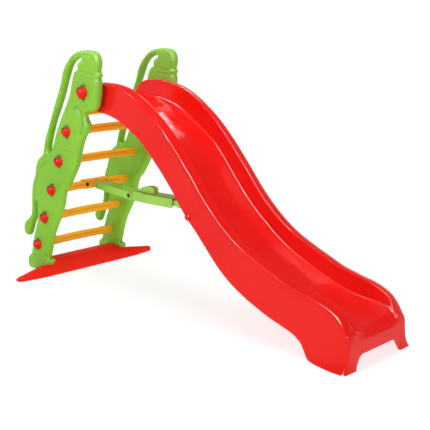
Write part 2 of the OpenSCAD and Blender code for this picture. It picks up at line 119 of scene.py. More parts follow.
def catmull(p, n, closed=True):
    """n points per span of a curve through p."""
    p = np.asarray(p, float)
    out = []
    c = len(p)
    spans = c if closed else c - 1
    for i in range(spans):
        if closed:
            a, b, d, e = p[(i - 1) % c], p[i], p[(i + 1) % c], p[(i + 2) % c]
        else:
            b, d = p[i], p[i + 1]
            a = p[i - 1] if i else 2 * b - d
            e = p[i + 2] if i + 2 < c else 2 * d - b
        for k in range(n):
            t = k / n
            out.append(0.5 * (2 * b + (d - a) * t + (2 * a - 5 * b + 4 * d - e) * t * t + (3 * b - a - 3 * d + e) * t ** 3))
    if not closed:
        out.append(p[-1])
    return np.array(out)


def resample(p, step, closed=True):
    """Points evenly spaced along a polyline."""
    p = np.asarray(p, float)
    q = np.vstack([p, p[:1]]) if closed else p
    seg = np.linalg.norm(np.diff(q, axis=0), axis=1)
    s = np.concatenate([[0], np.cumsum(seg)])
    n = max(3, int(round(s[-1] / step)))
    t = np.linspace(0, s[-1], n + 1)
    if closed:
        t = t[:-1]
    return np.stack([np.interp(t, s, q[:, k]) for k in range(q.shape[1])], 1)


def seg_dist(pts, line, closed=False):
    """Distance of every point to a polyline."""
    pts = np.asarray(pts, float)
    q = np.asarray(line, float)
    if closed:
        q = np.vstack([q, q[:1]])
    best = np.full(len(pts), 1e9)
    for a, b in zip(q[:-1], q[1:]):
        d = b - a
        l2 = max(1e-9, float(d @ d))
        t = np.clip(((pts - a) @ d) / l2, 0, 1)
        r = pts - (a + t[:, None] * d)
        best = np.minimum(best, np.hypot(r[:, 0], r[:, 1]))
    return best


def inside(pts, poly):
    pts = np.asarray(pts, float)
    x, y = pts[:, 0], pts[:, 1]
    q = np.asarray(poly, float)
    a, b = q, np.roll(q, -1, 0)
    res = np.zeros(len(pts), bool)
    for (x1, y1), (x2, y2) in zip(a, b):
        if y1 == y2:
            continue
        hit = ((y1 > y) != (y2 > y)) & (x < (x2 - x1) * (y - y1) / (y2 - y1) + x1)
        res ^= hit
    return res


def blob(x, e0, e1):
    t = np.clip((x - e0) / (e1 - e0), 0, 1)
    return t * t * (3 - 2 * t)


# ---------------------------------------------------------------- materials
def plastic(name, base, rough=0.26, var=0.05, bump=0.02, scuff=0.35, coat=0.25, spec=0.45, hollow_shade=0.0):
    """Moulded plastic: slow colour drift, a fine moulding grain, uneven gloss, light scuffs on raised edges and painted
    shade darkening the hollows.
    """
    m = bpy.data.materials.new(name)
    m.use_nodes = True
    nt = m.node_tree
    nt.nodes.clear()
    N, L = nt.nodes.new, nt.links.new
    out = N("ShaderNodeOutputMaterial")
    bs = N("ShaderNodeBsdfPrincipled")
    L(bs.outputs[0], out.inputs[0])
    co = N("ShaderNodeTexCoord")
    slow = N("ShaderNodeTexNoise"); slow.inputs["Scale"].default_value = 3.2; slow.inputs["Detail"].default_value = 3
    fine = N("ShaderNodeTexNoise"); fine.inputs["Scale"].default_value = 420; fine.inputs["Detail"].default_value = 2
    mid = N("ShaderNodeTexNoise"); mid.inputs["Scale"].default_value = 38; mid.inputs["Detail"].default_value = 5; mid.inputs["Roughness"].default_value = 0.6
    wav = N("ShaderNodeTexNoise"); wav.inputs["Scale"].default_value = 9; wav.inputs["Detail"].default_value = 1
    for t in (slow, fine, mid, wav):
        L(co.outputs["Object"], t.inputs["Vector"])
    dark = [c * (1 - var * 1.6) for c in base]
    light = [min(1, c * (1 + var) + 0.004) for c in base]
    ramp = N("ShaderNodeValToRGB")
    ramp.color_ramp.elements[0].position = 0.32; ramp.color_ramp.elements[0].color = (*dark, 1)
    ramp.color_ramp.elements[1].position = 0.68; ramp.color_ramp.elements[1].color = (*light, 1)
    L(slow.outputs["Fac"], ramp.inputs["Fac"])
    # scuffs: pale where the surface is raised and the mid noise is high
    geo = N("ShaderNodeNewGeometry")
    edge = N("ShaderNodeMapRange"); edge.inputs["From Min"].default_value = 0.53; edge.inputs["From Max"].default_value = 0.60
    L(geo.outputs["Pointiness"], edge.inputs["Value"])
    sc = N("ShaderNodeMapRange"); sc.inputs["From Min"].default_value = 0.52; sc.inputs["From Max"].default_value = 0.70
    L(mid.outputs["Fac"], sc.inputs["Value"])
    mul = N("ShaderNodeMath"); mul.operation = "MULTIPLY"
    L(edge.outputs[0], mul.inputs[0]); L(sc.outputs[0], mul.inputs[1])
    mul2 = N("ShaderNodeMath"); mul2.operation = "MULTIPLY"; mul2.inputs[1].default_value = scuff
    L(mul.outputs[0], mul2.inputs[0])
    mix = N("ShaderNodeMix"); mix.data_type = "RGBA"
    L(mul2.outputs[0], mix.inputs[0])
    L(ramp.outputs[0], mix.inputs[6])
    mix.inputs[7].default_value = (*[min(1, c * 0.8 + 0.12) for c in base], 1)
    # painted shade: where the surface is hollow (low pointiness) the colour is mixed towards a darker copy of the base
    hol = N("ShaderNodeMapRange"); hol.inputs["From Min"].default_value = 0.495; hol.inputs["From Max"].default_value = 0.43
    hol.inputs["To Min"].default_value = 0.0; hol.inputs["To Max"].default_value = hollow_shade
    L(geo.outputs["Pointiness"], hol.inputs["Value"])
    mix2 = N("ShaderNodeMix"); mix2.data_type = "RGBA"
    L(hol.outputs[0], mix2.inputs[0]); L(mix.outputs[2], mix2.inputs[6])
    mix2.inputs[7].default_value = (base[0] * 0.35, base[1] * 0.55, base[2] * 0.7, 1)
    L(mix2.outputs[2], bs.inputs["Base Color"])
    rr = N("ShaderNodeMapRange")
    rr.inputs["From Min"].default_value = 0.3; rr.inputs["From Max"].default_value = 0.7
    rr.inputs["To Min"].default_value = rough * 0.82; rr.inputs["To Max"].default_value = rough * 1.25
    L(mid.outputs["Fac"], rr.inputs["Value"])
    L(rr.outputs[0], bs.inputs["Roughness"])
    b1 = N("ShaderNodeBump"); b1.inputs["Strength"].default_value = bump; b1.inputs["Distance"].default_value = 0.001
    L(fine.outputs["Fac"], b1.inputs["Height"])
    b2 = N("ShaderNodeBump"); b2.inputs["Strength"].default_value = 0.03; b2.inputs["Distance"].default_value = 0.003
    L(wav.outputs["Fac"], b2.inputs["Height"])
    L(b1.outputs[0], b2.inputs["Normal"])
    L(b2.outputs[0], bs.inputs["Normal"])
    bs.inputs["Specular IOR Level"].default_value = spec
    bs.inputs["Coat Weight"].default_value = coat
    bs.inputs["Coat Roughness"].default_value = 0.12
    return m


def metal(name, base=(0.60, 0.61, 0.63), rough=0.32):
    """Zinc-plated steel: bright, faintly mottled and brushed."""
    m = bpy.data.materials.new(name)
    m.use_nodes = True
    nt = m.node_tree
    N, L = nt.nodes.new, nt.links.new
    bs = nt.nodes["Principled BSDF"]
    co = N("ShaderNodeTexCoord")
    n = N("ShaderNodeTexNoise"); n.inputs["Scale"].default_value = 160; n.inputs["Detail"].default_value = 4
    L(co.outputs["Object"], n.inputs["Vector"])
    ramp = N("ShaderNodeValToRGB")
    ramp.color_ramp.elements[0].color = (*[c * 0.8 for c in base], 1); ramp.color_ramp.elements[1].color = (*base, 1)
    L(n.outputs["Fac"], ramp.inputs["Fac"]); L(ramp.outputs[0], bs.inputs["Base Color"])
    rr = N("ShaderNodeMapRange"); rr.inputs["To Min"].default_value = rough * 0.7; rr.inputs["To Max"].default_value = rough * 1.4
    L(n.outputs["Fac"], rr.inputs["Value"]); L(rr.outputs[0], bs.inputs["Roughness"])
    b = N("ShaderNodeBump"); b.inputs["Strength"].default_value = 0.08; b.inputs["Distance"].default_value = 0.0004
    L(n.outputs["Fac"], b.inputs["Height"]); L(b.outputs[0], bs.inputs["Normal"])
    bs.inputs["Metallic"].default_value = 1.0
    return m


# FRUIT, LIME and ORANGE below mix painted shade into their hollows
RED = plastic("red_moulded", (0.89, 0.009, 0.006), rough=0.13, var=0.02, bump=0.003, scuff=0.0, coat=0.0, spec=0.17)
RED2 = plastic("red_bar", (0.97, 0.022, 0.007), rough=0.42, var=0.03, bump=0.006, scuff=0.0, coat=0.0, spec=0.05)
FRUIT = plastic("red_fruit", (0.88, 0.018, 0.008), rough=0.42, var=0.06, bump=0.006, scuff=0.0, coat=0.0, spec=0.07, hollow_shade=0.7)
LIME = plastic("lime_moulded", (0.25, 0.575, 0.026), rough=0.50, var=0.04, bump=0.012, scuff=0.12, coat=0.0, spec=0.22, hollow_shade=0.8)
# painted light: the lime plastic of the panels mixed lighter and bluer for the strut, to offset the shade it sits in
# under the chute
ARM_LIT = plastic("lime_strut_lit", (0.37, 0.70, 0.085), rough=0.42, var=0.04, bump=0.01, scuff=0.15, coat=0.0, spec=0.28)
# painted shade: a darker orange for the faces inside the rungs' groove, standing for the shade in it
GROOVE_SHADE = plastic("orange_groove_shade", (0.84, 0.32, 0.008), rough=0.5, var=0.05, bump=0.01, scuff=0.0, coat=0.0, spec=0.12)
ORANGE = plastic("orange_moulded", (0.98, 0.445, 0.008), rough=0.42, var=0.05, bump=0.01, scuff=0.0, coat=0.0, spec=0.16, hollow_shade=0.35)
LEAF = plastic("leaf_green", (0.07, 0.17, 0.014), rough=0.55, var=0.15, bump=0.02, coat=0.0, spec=0.10)
# painted shade: near-black plastic for thin discs standing for the shade in recesses
HOLE_SHADE = plastic("painted_hole_shade", (0.012, 0.012, 0.012), rough=0.7, var=0.1, coat=0.0, spec=0.2)
ZINC = metal("zinc_plate", (0.42, 0.43, 0.45))
BLACKED = metal("blacked_steel", (0.035, 0.033, 0.032), 0.5)

# ---------------------------------------------------------------- chute
ROWS = [(490, 992, 486, 964, 6), (503, 1020, 500, 960, 34), (530, 1045, 530, 957, 60), (570, 1060, 572, 952, 77),
        (600, 1065, 602, 944, 83), (644, 1068, 636, 926, 88), (692, 1067, 672, 919, 92), (740, 1064, 708, 914, 98),
        (790, 1056, 746, 906, 104), (835, 1046, 783, 896, 107), (882, 1028, 820, 882, 107), (925, 1007, 858, 864, 107),
        (968, 983, 896, 844, 106), (1008, 957, 934, 821, 103), (1048, 930, 970, 796, 98), (1088, 899, 1004, 769, 92),
        (1126, 867, 1034, 742, 86), (1162, 833, 1062, 716, 82), (1197, 798, 1090, 690, 82), (1231, 762, 1118, 662, 82),
        (1264, 726, 1150, 629, 83), (1297, 689, 1184, 592, 83), (1328, 653, 1216, 553, 82), (1358, 619, 1248, 515, 81),
        (1388, 586, 1282, 479, 80), (1418, 556, 1318, 447, 79), (1446, 529, 1352, 415, 77), (1475, 504, 1384, 383, 75),
        (1507, 478, 1417, 350, 74), (1540, 454, 1450, 318, 74), (1577, 430, 1488, 284, 75), (1616, 408, 1528, 253, 77),
        (1654, 390, 1572, 225, 78), (1692, 374, 1616, 202, 79), (1735, 356, 1662, 180, 80), (1778, 340, 1710, 161, 81),
        (1821, 323, 1757, 143, 81), (1864, 307, 1806, 127, 82), (1901, 297, 1850, 115, 84), (1938, 289, 1893, 103, 86),
        (1968, 282, 1930, 88, 87), (1998, 276, 1962, 64, 89), (2020, 272, 1984, 34, 90), (2042, 267, 2006, 8, 91),
        (2070, 259, 2047, 1, 89), (2102, 247, 2093, 1, 86), (2130, 232, 2125, 1, 80), (2152, 212, 2149, 1, 68),
        (2168, 190, 2166, 1, 54), (2178, 172, 2177.5, 1, 41.5)]
RI, RO = 156.0, 204.0          # inner and outer half width of the rims


FRONT = 2199.0                 # front wall
LIP = 15.0                     # radius of the front corners and of the lip


def across(d, lu, x_rim, inset=0.0):
    """Half section from the middle outwards: rows of (y, height above the bed)."""
    k = min(1.0, d / 60.0)
    pts = []
    foot = 147.0
    r = min(9.0 + 24.0 * math.exp(-((x_rim - 890.0) / 150.0) ** 2), d * 0.40)
    # towards the exit the bed banks up into its walls
    bank = min(float(np.interp(x_rim, [1900, 1960, 2020, 2076, 2120, 2152, 2200], [0, 3, 12, 24, 34, 40, 40])), 0.62 * d)
    def banked(y):
        return bank * min(1.0, max(0.0, (y - 42.0) / (foot - 42.0))) ** 2
    # bed, faintly dished
    fold = 1.0 * math.exp(-((x_rim - 2150.0) / 7.0) ** 2)
    for y in (0, 0.22, 0.4, 0.54, 0.66, 0.77, 0.87, 0.96):
        y *= foot - r
        pts.append((y, -2.0 * k * (1 - (y / 138.0) ** 2) + fold * (1 if y < 105 else 0.3) + banked(y)))
    # tight crease between bed and wall
    for a in (0, 18, 36, 54, 72, 86):
        t = math.radians(a)
        y = foot - r + r * math.sin(t)
        pts.append((y, r * (1 - math.cos(t)) + banked(y)))
    # wall, leaning out a little
    ri = min(6.5, d * 0.30)
    top_in = RI - 3
    h0, h_top = r * (1 - math.cos(math.radians(86))) + bank, d - ri
    for f in (0.25, 0.55, 0.85):
        pts.append((foot + (top_in - foot) * f, h0 + (h_top - h0) * f))
    # inner rim edge
    for a in (0, 22, 45, 68, 90):
        t = math.radians(a)
        pts.append((top_in + ri * (1 - math.cos(t)), h_top + ri * math.sin(t)))
    # band, a little lower towards the outside
    ro = 8.5 + 11.0 * blob(x_rim, 2040, 2175)
    drop = 6.0 * k + 1.0
    y0, y1 = top_in + ri, RO - ro - inset
    for f in (0.35, 0.7, 1.0):
        pts.append((y0 + (y1 - y0) * f, d - drop * f * f))
    # outer rim edge
    for a in (16, 34, 52, 70, 88):
        t = math.radians(a)
        pts.append((y1 + ro * math.sin(t), d - drop - ro * (1 - math.cos(t))))
    # skirt down to its lower edge, spreading at the foot
    h_sk, bottom = d - drop - ro, d - lu
    flare = blob(x_rim, 1985, 2150)
    for f in (0.08, 0.2, 0.35, 0.5, 0.64, 0.76, 0.85, 0.91, 0.95, 0.975, 0.99, 1.0):
        h = h_sk + (bottom - h_sk) * f
        above = h - bottom
        y = RO - inset + 7 * f + flare * (29 - 1.9 * inset) * math.exp(-above / 33.0)
        pts.append((y, h))
    return pts


def chute_mesh():
    rows = catmull(np.array(ROWS, float), 4, closed=False)
    half = [across(r[4], math.hypot(r[0] - r[2], r[1] - r[3]), r[0]) for r in rows]
    # rounding of the rims, the lip and the front corners into the front wall
    extra = []
    for a in (0, 12, 24, 36, 48, 60, 70, 79, 85, 90):
        t = math.radians(a)
        x = FRONT - LIP + LIP * math.sin(t)
        bed = 127.0 - 3.0 * math.sin(t) - 11.0 * (1 - math.cos(t))
        f = max(0.0, math.cos(t)) ** 1.2
        extra.append((x, bed + 33, x, 1.0, 33))
        pts, low = across(33, bed + 32, x, 10.0 * (1 - math.cos(t))), 1.0 - bed
        # the walls sink into the lip and their outer corner rounds off
        n_top = len(pts) - 12
        side = pts[n_top - 1][0]
        new = [(y, h * f - 15.0 * (1 - f) * max(0.0, 1 - (side - y) / 30.0) ** 2.2) for y, h in pts[:n_top]]
        h_was, h_now = pts[n_top - 1][1], new[-1][1]
        new += [(y, h_now + (low - h_now) * (h - h_was) / (low - h_was)) for y, h in pts[n_top:]]
        half.append(new)
    rows = np.vstack([rows, np.array(extra)])
    nh = len(half[0])
    grid = []
    for r, pts in zip(rows, half):
        rim, skt = np.array([r[0], r[1]]), np.array([r[2], r[3]])
        u = (rim - skt) / np.linalg.norm(rim - skt)
        bed = rim - u * r[4]
        line = []
        for j in range(-(nh - 1), nh):
            y, h = pts[abs(j)]
            p = bed + u * h
            line.append((p[0], math.copysign(y, j) if j else 0.0, max(0.5, p[1])))
        grid.append(line)
    last = np.array(grid[-1])
    # arch outline, matched point for point: crown, corner, leg
    nb, ns = 14, 12
    arch = []
    for j in range(-(nh - 1), nh):
        i = abs(j)
        if i < nb:
            y, z = last[j + nh - 1][1] if j > 0 else -last[j + nh - 1][1], 58.5
            y = abs(y) * 100 / 147.0
        elif i < nh - ns:
            t = math.radians(66 * (i - nb + 1) / (nh - ns - nb))
            y, z = 100 + 38.5 * math.sin(t), 20 + 38.5 * math.cos(t)
        else:
            f = (i - (nh - ns) + 1) / ns
            y, z = 135.2 + 21 * f ** 0.9, 35.7 * (1 - f) + 0.6 * f
        arch.append((math.copysign(y, j) if j else 0.0, z))
    arch = np.array(arch)
    for f in (0.12, 0.3, 0.5, 0.7, 0.86, 0.96, 1.0):
        g = []
        for j in range(len(last)):
            p = last[j]
            y = p[1] + (arch[j][0] - p[1]) * f ** 1.15
            z = p[2] + (arch[j][1] - p[2]) * f
            g.append((FRONT, y, z))
        grid.append(g)
    # edge of the arch folded in
    for dx, s in ((1.2, 0.6), (3.5, 1.2), (9.0, 1.6)):
        g = []
        for j, a in enumerate(arch):
            c = np.array([0.0, 20.0])
            n = a - c
            n = n / (np.linalg.norm(n) + 1e-9)
            q = a + n * s
            g.append((FRONT - dx, q[0], max(0.5, q[1]) if a[1] > 1.5 else a[1]))
        grid.append(g)
    n, m = len(grid), len(last)
    verts = np.array(grid).reshape(-1, 3)
    # toes turned out to the front at the floor
    verts[:, 0] += 8.6 * np.exp(-verts[:, 2] / 26.0) * blob(verts[:, 0], 2120, FRONT) * blob(abs(verts[:, 1]), 120, 170)
    faces = [(i * m + j, i * m + j + 1, (i + 1) * m + j + 1, (i + 1) * m + j) for i in range(n - 1) for j in range(m - 1)]
    return verts, faces


v, f = chute_mesh()
chute = make("chute_moulding", v, f, RED, "chute_body", ["chute"])
shell(chute, 0.0038)

# ---------------------------------------------------------------- side panels
FIGURE = [(584, 1224), (542, 1217), (498, 1197), (454, 1159), (422, 1114), (406, 1070), (381, 1019), (351, 966),
          (321, 912), (293, 859), (264, 805), (237, 751), (219, 700), (210, 672), (184, 656), (156, 632), (137, 594),
          (125, 549), (108, 518), (94, 484), (84, 431), (77, 350), (64, 314), (34, 289), (2, 266), (-11, 236), (-8, 208),
          (8, 191), (26, 190), (39, 204), (51, 229), (66, 258), (83, 288), (97, 318), (105, 354), (110, 390),
          (119, 406), (129, 400), (134, 370), (133, 330), (124, 285), (101, 236), (76, 174), (54, 100),
          (36, 82), (22, 70), (16, 46), (18, 14), (32, 1), (60, 0.5), (88, 0.5),
          (104, 5), (140, 13), (190, 25), (226, 45), (238, 64), (241, 81), (234, 89), (212, 94),
          (224, 136), (243, 192), (264, 240), (291, 284), (316, 322), (340, 366), (361, 408), (374, 456), (390, 494), (416, 516),
          (436, 541), (454, 566), (472, 590), (490, 616), (508, 644), (520, 676), (531, 710), (550, 756),
          (572, 792), (594, 818), (612, 840), (617, 858), (606, 874), (595, 892), (594, 908), (606, 920), (636, 926),
          (668, 934), (688, 954), (700, 986), (709, 1030), (711, 1072), (707, 1092), (716, 1102), (717, 1114),
          (707, 1124), (713, 1142), (716, 1168), (710, 1194), (698, 1212), (678, 1222), (650, 1225), (616, 1226)]
SLOT = [(574, 1190), (532, 1180), (500, 1161), (478, 1138), (461, 1110), (444, 1077), (422, 1034), (400, 988),
        (373, 941), (350, 902), (322, 858), (299, 812), (278, 766), (259, 716), (255, 696), (262, 686), (276, 688),
        (292, 702), (316, 744), (340, 794), (366, 840), (395, 884), (423, 925), (454, 970), (476, 1010), (494, 1060),
        (508, 1098), (522, 1121), (541, 1129), (550, 1139), (545, 1152), (555, 1166), (572, 1174), (586, 1183)]


def panel_height(p, d):
    """Half thickness of the moulding at a point, from its distance to the edge and the relief."""
    r = 25.0
    t = np.clip(1 - d / r, 0, 1)
    h = HT * (1 - t ** 2.3) ** (1 / 2.3)
    h = h - 1.2 + 1.2 * blob(d, 20, 60)
    def groove(line, depth, width):
        q = seg_dist(p, catmull(line, 6, closed=False))
        return depth * np.exp(-(q / width) ** 2)
    def swell(x, z, rx, rz, amp):
        return amp * np.exp(-(((p[:, 0] - x) / rx) ** 2 + ((p[:, 1] - z) / rz) ** 2))
    relief = np.zeros(len(p))
    # furrow between the arm and the body
    relief += groove([(506, 934), (538, 944), (562, 922), (573, 886), (573, 846), (560, 812)], 13.0, 14)
    relief += groove([(528, 842), (520, 800), (514, 770)], 2.5, 10)
    relief += groove([(455, 884), (477, 938), (526, 974)], 2.5, 9)
    # brow, collar and chest
    relief += groove([(600, 1206), (640, 1206), (674, 1196), (694, 1174), (700, 1150), (698, 1128)], 3.5, 5.5)
    relief += groove([(588, 1128), (643, 1116), (712, 1113)], 5.0, 5)
    relief += groove([(596, 1099), (650, 1092), (708, 1091)], 4.0, 5)
    relief -= groove([(592, 1113), (646, 1104), (708, 1102)], 2.0, 6)
    relief += groove([(650, 1078), (646, 1030), (634, 985), (618, 950)], 2.8, 8)
    relief -= groove([(682, 1082), (679, 1038), (668, 985), (640, 950)], 2.5, 12)
    # waist, hip and tail
    relief += groove([(430, 718), (480, 711), (534, 709)], 3.5, 4.5)
    relief += groove([(110, 400), (122, 440), (136, 490), (156, 540), (186, 588), (226, 622), (262, 640)], 5.0, 8)
    relief += groove([(262, 668), (240, 640), (206, 616)], 3.0, 7)
    # paw
    relief += groove([(40, 92), (90, 98), (150, 100), (214, 92)], 3.5, 6)
    relief += groove([(196, 92), (200, 80), (202, 68)], 2.0, 4)
    # soft swells of the figure
    relief -= swell(529, 892, 15, 44, 3.5)
    relief -= swell(606, 880, 14, 34, 2.0)
    relief -= swell(640, 1160, 46, 26, 2.0)
    relief += swell(560, 1060, 40, 60, 1.5)
    relief -= swell(440, 600, 34, 70, 2.0)
    relief += swell(330, 560, 60, 90, 1.5)
    relief -= swell(250, 470, 50, 80, 1.2)
    relief *= blob(d, 1.0, 12.0)
    return np.clip(h - relief, 0.0, HT - 0.15)


def panel_mesh():
    outer = resample(catmull(FIGURE, 6), 5.0)
    hole = resample(catmull(SLOT, 6), 5.0)
    loops = [outer, hole]
    pts = [outer, hole]
    def sdf(q):
        d = np.minimum(seg_dist(q, outer, True), seg_dist(q, hole, True))
        ok = inside(q, outer) & ~inside(q, hole)
        return np.where(ok, d, -d)
    rings = []
    for depth, step in ((0.7, 5.0), (2.2, 5.0), (4.6, 5.5), (8.0, 6.0), (12.0, 6.5), (17.0, 7.0), (23.0, 7.5)):
        for lp in loops:
            q = resample(lp, step)
            t = np.roll(q, -1, 0) - np.roll(q, 1, 0)
            n = np.stack([t[:, 1], -t[:, 0]], 1)
            n /= np.linalg.norm(n, axis=1)[:, None] + 1e-9
            for sgn in (1, -1):
                c = q + sgn * n * depth
                s = sdf(c)
                c = c[s > depth - 0.12 * min(depth, 3.0)]
                rings.append(c)
    g = []
    for i, z in enumerate(np.arange(0, 690, 7.0)):
        g += [(x + (4.0 if i % 2 else 0), z) for x in np.arange(-20, 730, 8.0)]
    for i, z in enumerate(np.arange(690, 1226, 4.3)):
        g += [(x + (2.5 if i % 2 else 0), z) for x in np.arange(200, 730, 5.0)]
    g = np.array(g)
    g = g[sdf(g) > 26.0]
    inner = np.vstack(rings + [g])
    # drop points that crowd each other
    key, keep = {}, []
    for i, p in enumerate(inner):
        k = (int(p[0] // 2.0), int(p[1] // 2.0))
        clash = False
        for a in (-1, 0, 1):
            for b in (-1, 0, 1):
                for o in key.get((k[0] + a, k[1] + b), ()):
                    if (o[0] - p[0]) ** 2 + (o[1] - p[1]) ** 2 < 1.44:
                        clash = True
        if not clash:
            key.setdefault(k, []).append(p)
            keep.append(i)
    inner = inner[keep]
    n0, n1 = len(outer), len(hole)
    allp = np.vstack([outer, hole, inner])
    edges = [(i, (i + 1) % n0) for i in range(n0)] + [(n0 + i, n0 + (i + 1) % n1) for i in range(n1)]
    res = delaunay_2d_cdt([Vector(p) for p in allp], edges, [], 0, 1e-4)
    P = np.array([tuple(q) for q in res[0]])
    T = [tuple(t) for t in res[2]]
    cen = np.array([P[list(t)].mean(0) for t in T])
    ok = inside(cen, outer) & ~inside(cen, hole)
    T = [t for t, o in zip(T, ok) if o]
    used = sorted({i for t in T for i in t})
    remap = {o: i for i, o in enumerate(used)}
    P = P[used]
    P[:, 0] = np.maximum(P[:, 0], -11.2)
    P[:, 1] = np.clip(P[:, 1], 0.4, 1225.6)
    T = [tuple(remap[i] for i in t) for t in T]
    d = np.minimum(seg_dist(P, outer, True), seg_dist(P, hole, True))
    d[d < 1e-3] = 0
    return P, T, d


P, T, D = panel_mesh()
H_out = panel_height(P, D)
# the inner side carries the rung seats, so its relief is shallower
H_in = 0.45 * HT * (1 - np.clip(1 - D / 25.0, 0, 1) ** 2.3) ** (1 / 2.3) + 0.55 * H_out
edge = D <= 0
N = len(P)
for side, s in (("left", 1), ("right", -1)):
    outv = np.stack([P[:, 0], s * (YM + np.where(edge, 0, H_out)), P[:, 1]], 1)
    inv = np.stack([P[:, 0], s * (YM - np.where(edge, 0, H_in)), P[:, 1]], 1)
    idx_in = np.arange(N) + N
    idx_in[edge] = np.arange(N)[edge]
    faces = [t for t in T] + [tuple(idx_in[list(t)][::-1]) for t in T]
    vv = np.vstack([outv, inv])
    used = sorted({int(i) for t in faces for i in t})
    remap = np.full(len(vv), -1); remap[used] = np.arange(len(used))
    faces = [tuple(int(remap[i]) for i in t) for t in faces]
    ob = make(f"side_panel_{side}_moulding", vv[used], faces, LIME, "ladder", [f"side_panel_{side}"])


# ---------------------------------------------------------------- lofts across Y
def loft(name, sections, mats, body, replaces, cap=True, closed=True, auto=None, index=None):
    """Closed sections with equal point counts joined one to the next, ends filled."""
    S = np.array(sections, float)
    n, m = S.shape[:2]
    verts = S.reshape(-1, 3)
    faces = []
    for i in range(n - 1):
        for j in range(m):
            k = (j + 1) % m
            faces.append((i * m + j, i * m + k, (i + 1) * m + k, (i + 1) * m + j))
    if cap:
        faces.append(tuple(range(m))[::-1])
        faces.append(tuple((n - 1) * m + j for j in range(m)))
    mi = None
    if index is not None:
        mi = [index(i, j) for i in range(n - 1) for j in range(m)] + [0] * (len(faces) - (n - 1) * m)
    return make(name, verts, faces, mats, body, replaces, auto=auto, mat_index=mi)


def rounded_rect(w, h, r, cx=0.0, cz=0.0):
    """A rectangle whose corners are flats between two small roundings."""
    out = []
    for qx, qz, a0 in ((1, 1, 0), (-1, 1, 90), (-1, -1, 180), (1, -1, 270)):
        for k in (0, 6, 13, 21, 69, 77, 84, 90):
            a = math.radians(a0 + k)
            out.append((cx + qx * (w / 2 - r) + r * math.cos(a), cz + qz * (h / 2 - r) + r * math.sin(a)))
    return out


# ---------------------------------------------------------------- rungs
def rung(i):
    px, pz = RUNG[i]
    secs = []
    # stations from one panel to the other: short collar, then the crowned tread
    stations = []
    for y, col in ((YI + 1.5, 1.0), (YI - 2, 1.0), (YI - 40, 1.0), (YI - 66, 0.95), (YI - 74, 0.80), (YI - 80, 0.50), (YI - 86, 0.20), (YI - 94, 0.0)):
        stations.append((-y, col))
    inner = [(-(YI - 94) + 2 * (YI - 94) * t, 0.0) for t in np.linspace(0, 1, 22)[1:-1]]
    st = stations + inner + [(-y, c) for y, c in stations[::-1]]
    for y, c in st:
        crown = 1 - (y / YI) ** 2
        w, h, r = 31 + 3 * c, 36 + 8 * crown + 6 * c, 12 + 1 * c
        sec = rounded_rect(w, h, r, cx=px, cz=pz + 5.0 * crown + 1.0 * c)
        g, zg = 1.5 * (1 - c), pz + 5.0 * crown + 3.4 + 2.0 * crown
        sec += [(px + w / 2, zg - 2.3), (px + w / 2 - g, zg - 1.5), (px + w / 2 - g, zg + 1.5), (px + w / 2, zg + 2.3)]
        secs.append([(x, y, z) for x, z in sec])
    depth = [c for _, c in st]
    # the groove's faces take the darker orange: painted shade
    return loft(f"rung_{i + 1}_moulding", secs, [ORANGE, GROOVE_SHADE], "ladder", [f"rung_{i + 1}"], auto=38,
                index=lambda a, j: 1 if 32 <= j <= 34 and depth[a] < 0.6 else 0)


for i in range(5):
    rung(i)
lo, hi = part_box("top_tie_bar")
secs = []
for y, r in ((-YI + 0.5, 12), (-YI + 30, 12), (0, 12.0), (YI - 30, 12), (YI - 0.5, 12)):
    secs.append([(560 + r * math.cos(2 * math.pi * k / 28), y, 915 + r * math.sin(2 * math.pi * k / 28)) for k in range(28)])
loft("top_tie_bar_tube", secs, ORANGE, "ladder", ["top_tie_bar"], auto=50)

# ---------------------------------------------------------------- floor bar
def base_bar():
    secs = []
    half = 462.0
    ys = [0, 60, 120, 180, 205, 212, 219, 222, 224, 240, 252, 264, 270, 273, 276, 284, 296, 310, 335, 360, 385, 410, 430, 444, 453, 459, 461.9]
    ys = [-y for y in ys[::-1]] + ys[1:]
    for y in ys:
        a = abs(y)
        top = 82 - 31 * blob(a, 190, 300) - np.interp(a, [0, 300, 345, 385, 430, 452, 462], [0, 0, 6, 12, 18, 21, 27])
        back = np.interp(a, [0, 190, 230, 270, 300, 320, 360, 400, 430, 448, 457, 462], [106, 106, 100, 98, 106, 116, 136, 158, 175, 185, 191, 197])
        front = np.interp(a, [0, 280, 330, 380, 420, 440, 452, 459, 462], [263, 262, 260, 254, 247, 243, 240, 236, 230])
        # inside the panels a broad crown, outside them the top slopes down to the back edge
        t = blob(a, 215, 278)
        crest = back + (front - back) * (0.5 + 0.20 * t)
        eb, ef = 2.9 - 1.75 * t, 2.9
        pts = []
        n = 14
        for k in range(n + 1):
            u = math.cos(math.pi / 2 * k / n)                      # front to crest
            pts.append((crest + (front - crest) * u, y, 4 + (top - 4) * (1 - u ** ef) ** (1 / ef)))
        for k in range(1, n + 1):
            u = math.sin(math.pi / 2 * k / n)                      # crest to back
            low = 4 + 3 * t
            pts.append((crest - (crest - back) * u, y, low + (top - low) * max(0.0, 1 - u ** eb) ** (1 / ef if t < 0.5 else 0.9)))
        pts.append((back + 0.6, y, 2.6))
        pts.append((back + 4, y, 0.4))
        pts.append((front - 5, y, 0.4))
        pts.append((front - 1.2, y, 2.0))
        secs.append(pts)
    return loft("floor_bar_moulding", secs, RED2, "ladder", ["base_bar"], auto=45)


base_bar()


